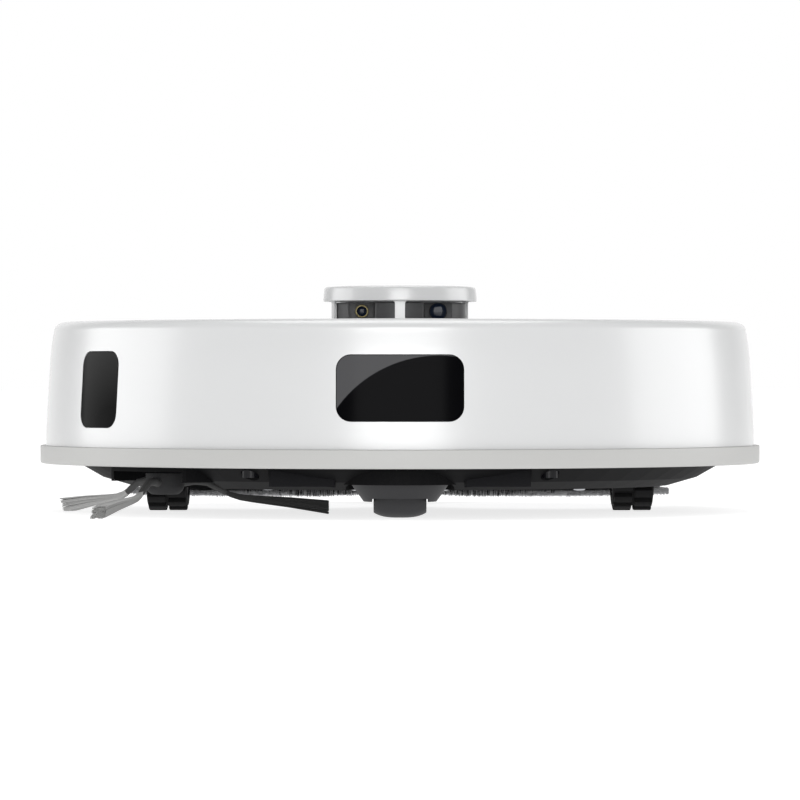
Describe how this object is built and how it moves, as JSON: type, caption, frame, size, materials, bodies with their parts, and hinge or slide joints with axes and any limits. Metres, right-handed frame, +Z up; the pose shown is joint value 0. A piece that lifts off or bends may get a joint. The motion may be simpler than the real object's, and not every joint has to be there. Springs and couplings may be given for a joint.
{
  "type": "robot floor cleaner",
  "caption": "Low round floor-cleaning robot with a scanning turret, sprung bumper, roller brush, sweeping side brush, drive wheels and spinning mop pads.",
  "frame": {"origin": "centre of the machine's round plan, on the floor it stands on", "axes": "+Z up; -Y is the front, with the bumper and its window; +X is the machine's own left"},
  "size_m": [0.3498, 0.35, 0.1103],
  "materials": {
    "chassis_pan": "matte",
    "upper_shell": "satin",
    "rear_skirt": "matte",
    "lds_guard": "satin",
    "lds_motor": "satin",
    "lds_motor_pulley": "matte",
    "lds_belt": "matte",
    "lds_rotor": "gloss",
    "lds_emitter_lens": "polished",
    "lds_receiver_lens": "gloss",
    "main_board": "satin",
    "battery_pack": "satin",
    "suction_fan": "matte",
    "brush_frame": "matte",
    "brush_gearbox": "matte",
    "side_brush_gearbox": "matte",
    "charging_contact_left": "satin",
    "charging_contact_right": "satin",
    "cliff_window_left": "gloss",
    "cliff_window_right": "gloss",
    "bumper_shell": "satin",
    "bumper_skirt": "matte",
    "front_window": "gloss",
    "side_window": "gloss",
    "bumper_spring_left": "satin",
    "bumper_spring_right": "satin",
    "top_lid": "satin",
    "lid_hinge_pin": "satin",
    "dust_bin": "gloss",
    "dust_bin_cover": "matte",
    "dust_filter": "matte",
    "bin_latch": "matte",
    "power_button": "satin",
    "dock_button": "satin",
    "brush_roller": "matte",
    "brush_end_bearing": "satin",
    "side_brush_hub": "matte",
    "side_brush_tuft_1": "matte",
    "side_brush_tuft_2": "matte",
    "side_brush_tuft_3": "matte",
    "caster_fork": "matte",
    "caster_axle": "satin",
    "caster_wheel": "satin",
    "mop_gearbox": "matte",
    "left_drive_arm": "matte",
    "left_drive_motor": "satin",
    "left_wheel_rim": "matte",
    "left_wheel_tyre": "matte",
    "left_suspension_spring": "satin",
    "left_pivot_pin": "satin",
    "left_mop_plate": "matte",
    "left_mop_pad": "matte",
    "right_drive_arm": "matte",
    "right_drive_motor": "satin",
    "right_wheel_rim": "matte",
    "right_wheel_tyre": "matte",
    "right_suspension_spring": "satin",
    "right_pivot_pin": "satin",
    "right_mop_plate": "matte",
    "right_mop_pad": "matte"
  },
  "bodies": {
    "body": {"chassis_pan": "chassis_pan", "upper_shell": "upper_shell", "rear_skirt": "rear_skirt", "lds_guard": "lds_guard", "lds_motor": "lds_motor", "lds_belt": "lds_belt", "main_board": "main_board", "battery_pack": "battery_pack", "suction_fan": "suction_fan", "brush_frame": "brush_frame", "brush_gearbox": "brush_gearbox", "brush_end_bearing": "brush_end_bearing", "side_brush_gearbox": "side_brush_gearbox", "charging_contact_left": "charging_contact_left", "charging_contact_right": "charging_contact_right", "cliff_window_left": "cliff_window_left", "cliff_window_right": "cliff_window_right", "dust_bin": "dust_bin", "dust_bin_cover": "dust_bin_cover", "dust_filter": "dust_filter", "lid_hinge_pin": "lid_hinge_pin", "bumper_spring_left": "bumper_spring_left", "bumper_spring_right": "bumper_spring_right", "left_pivot_pin": "left_pivot_pin", "right_pivot_pin": "right_pivot_pin", "left_suspension_spring": "left_suspension_spring", "right_suspension_spring": "right_suspension_spring"},
    "bumper": {"bumper_shell": "bumper_shell", "bumper_skirt": "bumper_skirt", "front_window": "front_window", "side_window": "side_window"},
    "lid": {"top_lid": "top_lid"},
    "latch": {"bin_latch": "bin_latch"},
    "scan_head": {"lds_rotor": "lds_rotor", "lds_emitter_lens": "lds_emitter_lens", "lds_receiver_lens": "lds_receiver_lens"},
    "scan_pulley": {"lds_motor_pulley": "lds_motor_pulley"},
    "power_key": {"power_button": "power_button"},
    "dock_key": {"dock_button": "dock_button"},
    "roller": {"brush_roller": "brush_roller"},
    "side_brush": {"side_brush_hub": "side_brush_hub", "side_brush_tuft_1": "side_brush_tuft_1", "side_brush_tuft_2": "side_brush_tuft_2", "side_brush_tuft_3": "side_brush_tuft_3"},
    "left_arm": {"left_drive_arm": "left_drive_arm", "left_drive_motor": "left_drive_motor"},
    "right_arm": {"right_drive_arm": "right_drive_arm", "right_drive_motor": "right_drive_motor"},
    "left_wheel": {"left_wheel_rim": "left_wheel_rim", "left_wheel_tyre": "left_wheel_tyre"},
    "right_wheel": {"right_wheel_rim": "right_wheel_rim", "right_wheel_tyre": "right_wheel_tyre"},
    "caster_swivel_body": {"caster_fork": "caster_fork", "caster_axle": "caster_axle"},
    "caster_roller": {"caster_wheel": "caster_wheel"},
    "mop_carriage": {"mop_gearbox": "mop_gearbox"},
    "left_mop": {"left_mop_plate": "left_mop_plate", "left_mop_pad": "left_mop_pad"},
    "right_mop": {"right_mop_plate": "right_mop_plate", "right_mop_pad": "right_mop_pad"}
  },
  "joints": [
    {"name": "bumper_push", "type": "slide", "parent": "body", "child": "bumper", "axis": [0, 1, 0], "range_m": [0, 0.003], "stiffness_N_per_m": 600, "springref_m": -0.002, "deforming": ["bumper_spring_left", "bumper_spring_right"]},
    {"name": "lid_open", "type": "hinge", "parent": "body", "child": "lid", "pos_m": [0, -0.007, 0.09], "axis": [-1, 0, 0], "range_deg": [0, 85]},
    {"name": "bin_latch_slide", "type": "slide", "parent": "body", "child": "latch", "axis": [0, 1, 0], "range_m": [0, 0.003], "stiffness_N_per_m": 200, "springref_m": -0.002},
    {"name": "lds_spin", "type": "hinge", "parent": "body", "child": "scan_head", "pos_m": [0, 0.04, 0.09], "axis": [0, 0, 1], "continuous": true},
    {"name": "lds_pulley_spin", "type": "hinge", "parent": "body", "child": "scan_pulley", "pos_m": [0.035, 0.076, 0.0805], "axis": [0, 0, 1], "continuous": true},
    {"name": "power_press", "type": "slide", "parent": "body", "child": "power_key", "axis": [0, 0, -1], "range_m": [0, 0.0008], "stiffness_N_per_m": 500, "springref_m": -0.001},
    {"name": "dock_press", "type": "slide", "parent": "body", "child": "dock_key", "axis": [0, 0, -1], "range_m": [0, 0.0008], "stiffness_N_per_m": 500, "springref_m": -0.001},
    {"name": "main_brush_spin", "type": "hinge", "parent": "body", "child": "roller", "pos_m": [0, -0.05, 0.03], "axis": [1, 0, 0], "continuous": true},
    {"name": "side_brush_spin", "type": "hinge", "parent": "body", "child": "side_brush", "pos_m": [-0.11, -0.096, 0.015], "axis": [0, 0, 1], "continuous": true, "deforming": ["side_brush_tuft_1", "side_brush_tuft_2", "side_brush_tuft_3"]},
    {"name": "left_suspension", "type": "hinge", "parent": "body", "child": "left_arm", "pos_m": [0.098, -0.052, 0.04], "axis": [1, 0, 0], "range_deg": [-12, 8], "stiffness_Nm_per_rad": 3.5, "springref_deg": -7.45, "deforming": ["left_suspension_spring"]},
    {"name": "right_suspension", "type": "hinge", "parent": "body", "child": "right_arm", "pos_m": [-0.098, -0.052, 0.04], "axis": [1, 0, 0], "range_deg": [-12, 8], "stiffness_Nm_per_rad": 3.5, "springref_deg": -7.45, "deforming": ["right_suspension_spring"]},
    {"name": "left_wheel_spin", "type": "hinge", "parent": "left_arm", "child": "left_wheel", "pos_m": [0.113, 0, 0.034], "axis": [1, 0, 0], "continuous": true},
    {"name": "right_wheel_spin", "type": "hinge", "parent": "right_arm", "child": "right_wheel", "pos_m": [-0.113, 0, 0.034], "axis": [1, 0, 0], "continuous": true},
    {"name": "caster_swivel", "type": "hinge", "parent": "body", "child": "caster_swivel_body", "pos_m": [0, -0.13, 0.02], "axis": [0, 0, 1], "continuous": true},
    {"name": "caster_roll", "type": "hinge", "parent": "caster_swivel_body", "child": "caster_roller", "pos_m": [0, -0.128, 0.01], "axis": [1, 0, 0], "continuous": true},
    {"name": "mop_lift", "type": "slide", "parent": "body", "child": "mop_carriage", "axis": [0, 0, 1], "range_m": [-0.0055, 0]},
    {"name": "left_mop_spin", "type": "hinge", "parent": "mop_carriage", "child": "left_mop", "pos_m": [0.071, 0.086, 0.01], "axis": [0, 0, 1], "continuous": true},
    {"name": "right_mop_spin", "type": "hinge", "parent": "mop_carriage", "child": "right_mop", "pos_m": [-0.071, 0.086, 0.01], "axis": [0, 0, 1], "continuous": true}
  ],
  "couplings": [
    {"joint": "lds_pulley_spin", "follows": "lds_spin", "ratio": 4.667},
    {"joint": "right_mop_spin", "follows": "left_mop_spin", "ratio": -1}
  ]
}
